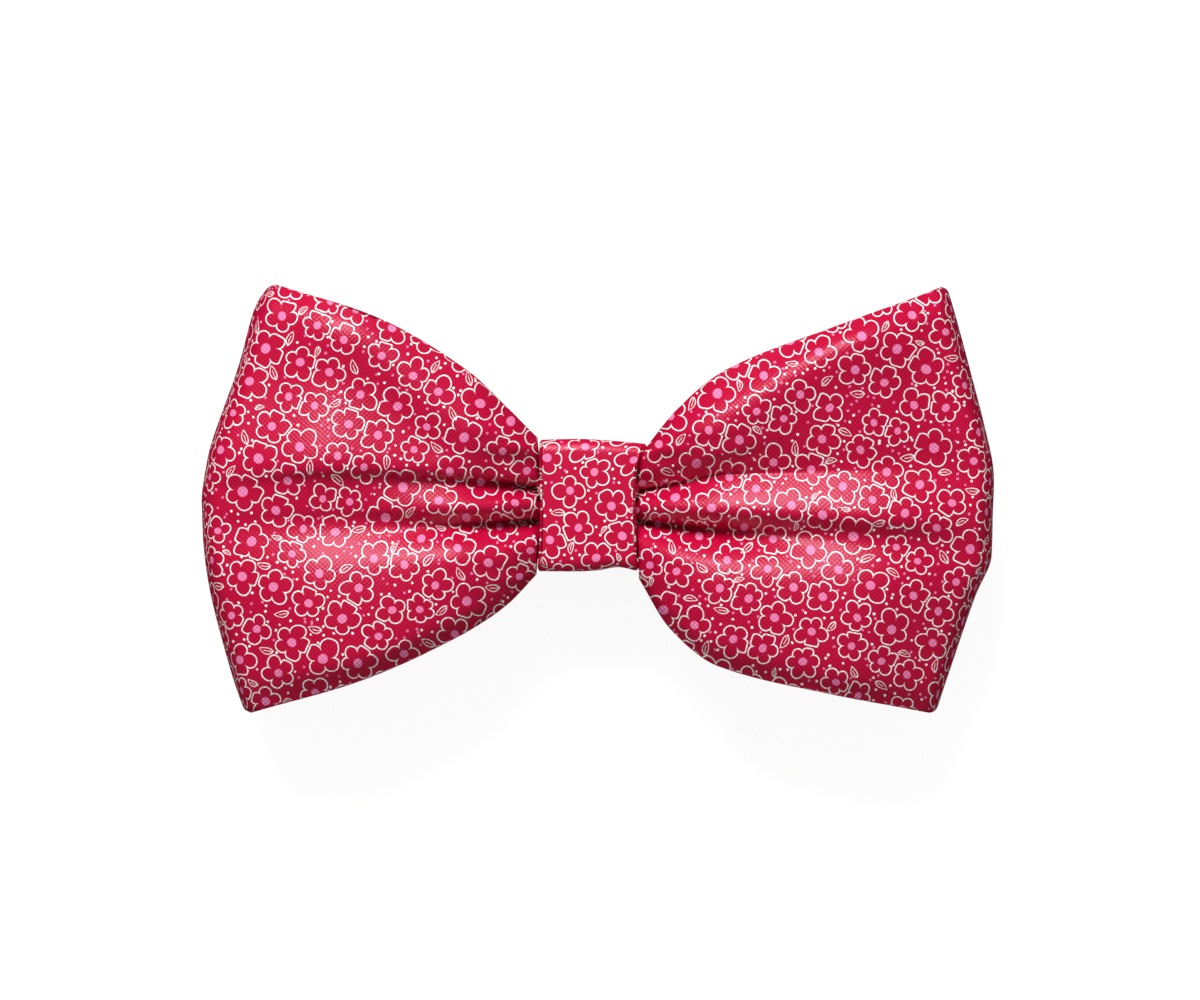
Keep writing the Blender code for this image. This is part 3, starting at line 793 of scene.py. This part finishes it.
def leaf_group(look, blossoms):
    """Leaves in the gaps between blossoms, each as long as its gap has room for.

    Edge is the signed distance to a pointed oval, where two circles overlap: their radius is 1.40 of its half
    length, and their middles lie 0.98 of it to either side. It is narrower towards its tip, and bowed. Rib is the
    distance to its midrib.
    """
    tree, place, target = new_group("leaves", ("Edge", "Rib"))
    node = partial(add, tree)
    half = look.spacing_mm / 2
    shifted = node("VectorMath ADD", place, (half, half, 0))
    cell = node("TexVoronoi", Vector=shifted, Scale=1 / look.spacing_mm, Randomness=LEAF_JITTER,
                voronoi_dimensions="2D")
    centre = node("VectorMath SUBTRACT", cell.outputs["Position"], (half, half, 0))
    room = node("Group", centre, node_tree=blossoms)
    long = node("Clamp", node("SUBTRACT", room, LEAF_CLEAR_MM), 0.02, LEAF_HALF_MM)
    offset = node("VectorMath SUBTRACT", place, centre)
    red, green, _ = node("SeparateColor", cell.outputs["Color"]).outputs
    bearing = node("MULTIPLY", red, 2 * math.pi)
    turned = node("VectorRotate", offset, Angle=bearing, rotation_type="Z_AXIS")
    x, y = node("SeparateXYZ", turned).outputs[:2]
    reach = node("DIVIDE", x, long)
    taper = node("MULTIPLY_ADD", reach, 0.28, 1.0)
    bowed = node("MULTIPLY_ADD", node("MULTIPLY", reach, reach), 0.12, y)
    wide = node("MULTIPLY", node("ABSOLUTE", bowed), taper)
    beyond = node("MULTIPLY_ADD", long, 0.98, wide)
    squares = node("MULTIPLY_ADD", x, x, node("MULTIPLY", beyond, beyond))
    oval = node("MULTIPLY_ADD", long, -1.40, node("SQRT", squares))
    too_small = node("LESS_THAN", long, LEAF_HALF_MM * LEAF_LEAST)
    left_out = node("MAXIMUM", too_small, node("LESS_THAN", green, LEAF_BARE))
    edge = node("MULTIPLY_ADD", left_out, AWAY_MM, oval)
    rib_end = node("GREATER_THAN", reach, 0.35)
    rib = node("MULTIPLY_ADD", rib_end, AWAY_MM, node("ABSOLUTE", bowed))
    fill(tree, target, Edge=edge, Rib=rib)
    return tree


def drawn(node, distance, half_width):
    """1 where a distance is under half a line's width and 0 past it, with a soft step between."""
    return node("MapRange", distance, half_width - SOFT_MM, half_width + SOFT_MM, 1.0, 0.0)


def new_material(name):
    """A new material, with add for its nodes and fill for its shader."""
    material = bpy.data.materials.new(name)
    material.use_nodes = True
    tree = material.node_tree
    return material, partial(add, tree), partial(fill, tree, tree.nodes["Principled BSDF"])


def printed_cloth(name, look, turn, weave, contrast):
    """Cotton, screen printed with outlined blossoms: a smooth woven face with a soft broad shine.

    turn is the print's angle on the cloth, and contrast how much lighter the weave's floats and darker its hollows
    are
    painted: painted highlight and painted shade. The weave is finer than this on such cloth. It is drawn about twice
    as coarse, so that it shows in a render.
    """
    material, node, finish = new_material(name)
    cloth = node("UVMap", uv_map="cloth_mm")
    place = node("VectorRotate", cloth, Angle=turn, rotation_type="Z_AXIS")
    shake = node("TexNoise", Vector=place, Scale=0.34, Detail=0.0, noise_dimensions="2D")
    centred = node("VectorMath SUBTRACT", shake.outputs["Color"], (0.5, 0.5, 0.5))
    wobble = node("VectorMath SCALE", centred, Scale=WAVER_MM)
    drawn_place = node("VectorMath ADD", place, wobble)

    blossoms = bpy.data.node_groups.get("blossoms") or blossom_group(look)
    leaves = bpy.data.node_groups.get("leaves") or leaf_group(look, blossoms)
    edge, out, size = node("Group", drawn_place, node_tree=blossoms).outputs
    leaf_edge, leaf_rib = node("Group", drawn_place, node_tree=leaves).outputs
    dot_cell = node("TexVoronoi", Vector=drawn_place, Scale=1 / DOT_SPACING_MM, Randomness=0.9,
                   voronoi_dimensions="2D")
    dot_place = dot_cell.outputs["Position"]
    dot_chance = node("SeparateColor", dot_cell.outputs["Color"])
    near_blossom = node("Group", dot_place, node_tree=blossoms)
    near_leaf = node("Group", dot_place, node_tree=leaves)
    clear = node("MINIMUM", near_blossom, near_leaf)
    has_room = node("GREATER_THAN", clear, DOT_CLEAR_MM)
    dot_offset = node("VectorMath DISTANCE", drawn_place, dot_place)
    dot = node("MULTIPLY", drawn(node, dot_offset, DOT_MM / 2), has_room)
    dot_is_pink = node("GREATER_THAN", dot_chance, 0.5)

    outline = drawn(node, node("ABSOLUTE", edge), look.line_mm / 2)
    inside = node("LESS_THAN", edge, 0.0)
    heart = drawn(node, node("SUBTRACT", out, node("MULTIPLY", size, HEART_SHARE)), 0.0)
    leaf_line = drawn(node, node("ABSOLUTE", leaf_edge), look.line_mm * 0.32)
    in_leaf = node("LESS_THAN", leaf_edge, -0.08)
    rib = node("MULTIPLY", drawn(node, leaf_rib, look.line_mm * 0.25), in_leaf)
    pale = node("MAXIMUM", node("MAXIMUM", leaf_line, rib), outline)

    ink = (*look.ground, 1)
    for share, tint in ((inside, look.petal), (heart, look.heart), (pale, look.line)):
        ink = node("Mix", Factor_Float=share, A_Color=ink, B_Color=(*tint, 1), data_type="RGBA")
    dot_tint = node("Mix", Factor_Float=dot_is_pink, A_Color=(*look.line, 1), B_Color=(*look.heart, 1),
                    data_type="RGBA")
    ink = node("Mix", Factor_Float=dot, A_Color=ink, B_Color=dot_tint, data_type="RGBA")

    floats = weave_height(node, cloth, look.weave_mm, weave)
    # The weave's floats are painted lighter and its hollows darker: painted highlight and painted shade of the
    # weave.
    painted_weave_shade = node("MapRange", floats, 0.0, 1.0, 1 - contrast, 1 + contrast)
    tone = node("VectorMath SCALE", ink, Scale=painted_weave_shade)
    polish = node("MapRange", floats, 0.0, 1.0, 0.39, 0.29)
    bump = node("Bump", Strength=0.10 + 0.8 * contrast, Distance=0.12 * MM, Height=floats)
    finish(Base_Color=tone, Roughness=polish, Specular_IOR_Level=0.40, Specular_Tint=(*look.shine, 1), Normal=bump)
    return material


def weave_height(node, cloth, pitch_mm, weave):
    """Height of the weave, 0 to 1.

    For sateen it is the product of sines along and across the cloth, which gives staggered floats, and for twill the
    sine of their sum, which gives slanted lines.
    """
    x, y = node("SeparateXYZ", cloth).outputs[:2]
    rate = 2 * math.pi / pitch_mm
    along = node("MULTIPLY", x, rate)
    across = node("MULTIPLY", y, rate * 1.06)
    if weave == "twill":
        lines = node("SINE", node("ADD", along, across))
        return node("MapRange", lines, -1.0, 1.0, 0.0, 1.0)
    both = node("MULTIPLY", node("SINE", along), node("SINE", across))
    return node("MapRange", both, -0.35, 0.9, 0.0, 1.0)


def elastic_webbing(look):
    """Knitted black polyester elastic: ribs along its length, crossed by fine rows of covering yarn. It is dull."""
    material, node, finish = new_material("black_polyester_elastic")
    cloth = node("UVMap", uv_map="cloth_mm")
    x, y = node("SeparateXYZ", cloth).outputs[:2]
    rows = node("MULTIPLY", y, 2 * math.pi / YARN_ROW_MM)
    column = node("MULTIPLY", x, math.pi / look.rib_mm)
    lift = node("ABSOLUTE", node("SINE", column))
    wavy = node("MULTIPLY_ADD", lift, 1.4, rows)
    yarn = node("MapRange", node("SINE", wavy), -1.0, 1.0, 0.0, 1.0)
    height = node("MULTIPLY_ADD", lift, 0.6, yarn)
    # The low places between the rows of yarn are painted darker: painted shade in the grooves.
    painted_groove_shade = tuple(part * 0.35 for part in look.yarn)
    tone = node("Mix", Factor_Float=yarn, A_Color=(*painted_groove_shade, 1), B_Color=(*look.yarn, 1), data_type="RGBA")
    bump = node("Bump", Strength=0.7, Distance=0.15 * MM, Height=height)
    finish(Base_Color=tone, Roughness=0.72, Sheen_Weight=0.3, Normal=bump)
    return material


def sewing_thread(name, tint):
    """Twisted polyester thread: a slight shine, and painted shade in bands along the twist of its plies."""
    material, node, finish = new_material(name)
    place = node("TexCoord").outputs["Object"]
    twist = node("TexWave", Vector=place, Scale=900.0, bands_direction="DIAGONAL")
    # The bands between the plies are painted darker: painted shade of the twist.
    painted_groove_shade = tuple(part * 0.6 for part in tint)
    tone = node("Mix", Factor_Float=twist.outputs["Fac"], A_Color=(*painted_groove_shade, 1), B_Color=(*tint, 1), data_type="RGBA")
    finish(Base_Color=tone, Roughness=0.5)
    return material


def make_stage(sizes):
    """A pale floor that glows as a light table does, a broad light beyond the bow's top, and an even fill.

    Neither floor nor fill is mirrored in the cloth, whose shine shows the key light alone. The camera stands
    straight above the bow.
    """
    look = sizes.stage
    scene = bpy.context.scene
    mesh = bpy.data.meshes.new("floor")
    far = FLOOR_REACH
    mesh.from_pydata([(-far, -far, 0), (far, -far, 0), (far, far, 0), (-far, far, 0)], [], [(0, 1, 2, 3)])
    floor = put("floor", mesh)
    floor.location.z = -0.05 * MM
    floor.visible_glossy = False
    floor.visible_diffuse = False
    # Matt paper, lit from below: even and without shine.
    paper, _, finish = new_material("matt_white_paper")
    finish(Base_Color=(*look.floor, 1), Roughness=0.9, Specular_IOR_Level=0.1,
           Emission_Color=(*look.light, 1), Emission_Strength=look.glow)
    mesh.materials.append(paper)

    lamp = bpy.data.lights.new("key", "AREA")
    lamp.shape = "DISK"
    lamp.size = KEY_SIZE
    lamp.energy = look.key
    key = put("key", lamp)
    key.location = KEY_PLACE
    key.rotation_euler = (-key.location).to_track_quat("-Z", "Y").to_euler()

    world = scene.world or bpy.data.worlds.new("studio")
    scene.world = world
    world.use_nodes = True
    fill(world.node_tree, world.node_tree.nodes["Background"], (*look.light, 1), look.fill)
    world.cycles_visibility.glossy = False

    camera = put("camera", bpy.data.cameras.new("camera"))
    height = (CAD_BOX[1].z - CAD_BOX[0].z) / 2
    camera.data.sensor_width = 36
    camera.data.lens = camera.data.sensor_width * (look.distance - height) / look.frame_width
    camera.data.clip_start = 0.05
    camera.data.clip_end = 20
    camera.location = (PHOTO_MIDDLE_X, PHOTO_MIDDLE_Y, look.distance)
    scene.camera = camera
    scene.view_settings.view_transform = "Standard"


class BowTieSizes(bpy.types.PropertyGroup):
    """All the sizes and colours of the bow tie."""

    bow: PointerProperty(type=BowSizes)
    band: PointerProperty(type=BandSizes)
    elastic: PointerProperty(type=ElasticLook)
    cloth: PointerProperty(type=PrintLook)
    stage: PointerProperty(type=StageLook)


class OBJECT_OT_bow_tie_strip(bpy.types.Operator):
    """Make the gathered strip of printed cloth"""

    bl_idname = "object.bow_tie_strip"
    bl_label = "Gathered strip"

    def execute(self, context):
        sizes = context.scene.bow_tie
        bow = make_bow(sizes)
        bow.data.materials.append(printed_cloth("printed_cotton_sateen", sizes.cloth, 0.42, "sateen", 0.20))
        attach(bow, "root")
        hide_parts("bow_strip")
        return {"FINISHED"}


class OBJECT_OT_bow_tie_band(bpy.types.Operator):
    """Make the band of printed cloth round the middle"""

    bl_idname = "object.bow_tie_band"
    bl_label = "Band"

    def execute(self, context):
        sizes = context.scene.bow_tie
        band = make_band(sizes)
        band.data.materials.append(printed_cloth("printed_cotton_twill", sizes.cloth, -1.1, "twill", 0.06))
        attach(band, "root")
        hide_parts("knot_band")
        return {"FINISHED"}


class OBJECT_OT_bow_tie_elastic(bpy.types.Operator):
    """Make the elastic loop and the thread that holds it"""

    bl_idname = "object.bow_tie_elastic"
    bl_label = "Elastic loop"

    def execute(self, context):
        sizes = context.scene.bow_tie
        elastic = make_elastic(sizes)
        elastic.data.materials.append(elastic_webbing(sizes.elastic))
        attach(elastic, "root")
        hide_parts("collar_elastic")
        seam, tacks = make_stitches()
        seam.data.materials.append(sewing_thread("black_polyester_thread", sizes.elastic.yarn))
        tacks.data.materials.append(sewing_thread("crimson_polyester_thread", sizes.elastic.thread))
        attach(seam, "root")
        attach(tacks, "root")
        return {"FINISHED"}


class OBJECT_OT_bow_tie_stage(bpy.types.Operator):
    """Make the floor, the lights and the camera"""

    bl_idname = "object.bow_tie_stage"
    bl_label = "Stage"

    def execute(self, context):
        make_stage(context.scene.bow_tie)
        return {"FINISHED"}


class VIEW3D_PT_bow_tie(bpy.types.Panel):
    """The bow tie's sizes, colours and makers"""

    bl_label = "Bow Tie"
    bl_space_type = "VIEW_3D"
    bl_region_type = "UI"
    bl_category = "Bow Tie"

    def draw(self, context):
        sizes = context.scene.bow_tie
        for group in (sizes.bow, sizes.band, sizes.elastic, sizes.cloth, sizes.stage):
            box = self.layout.box()
            for name in group.__annotations__:
                box.prop(group, name)
        for operator in MAKERS:
            self.layout.operator(operator.bl_idname)


MAKERS = (OBJECT_OT_bow_tie_strip, OBJECT_OT_bow_tie_band, OBJECT_OT_bow_tie_elastic, OBJECT_OT_bow_tie_stage)
GROUPS = (BowSizes, BandSizes, PrintLook, ElasticLook, StageLook, BowTieSizes)


def register():
    for made in (*GROUPS, *MAKERS, VIEW3D_PT_bow_tie):
        bpy.utils.register_class(made)
    bpy.types.Scene.bow_tie = PointerProperty(type=BowTieSizes)


def unregister():
    del bpy.types.Scene.bow_tie
    for made in reversed((*GROUPS, *MAKERS, VIEW3D_PT_bow_tie)):
        bpy.utils.unregister_class(made)


def main():
    register()
    bpy.ops.object.bow_tie_strip()
    bpy.ops.object.bow_tie_band()
    bpy.ops.object.bow_tie_elastic()
    bpy.ops.object.bow_tie_stage()


if __name__ == "__main__":
    main()
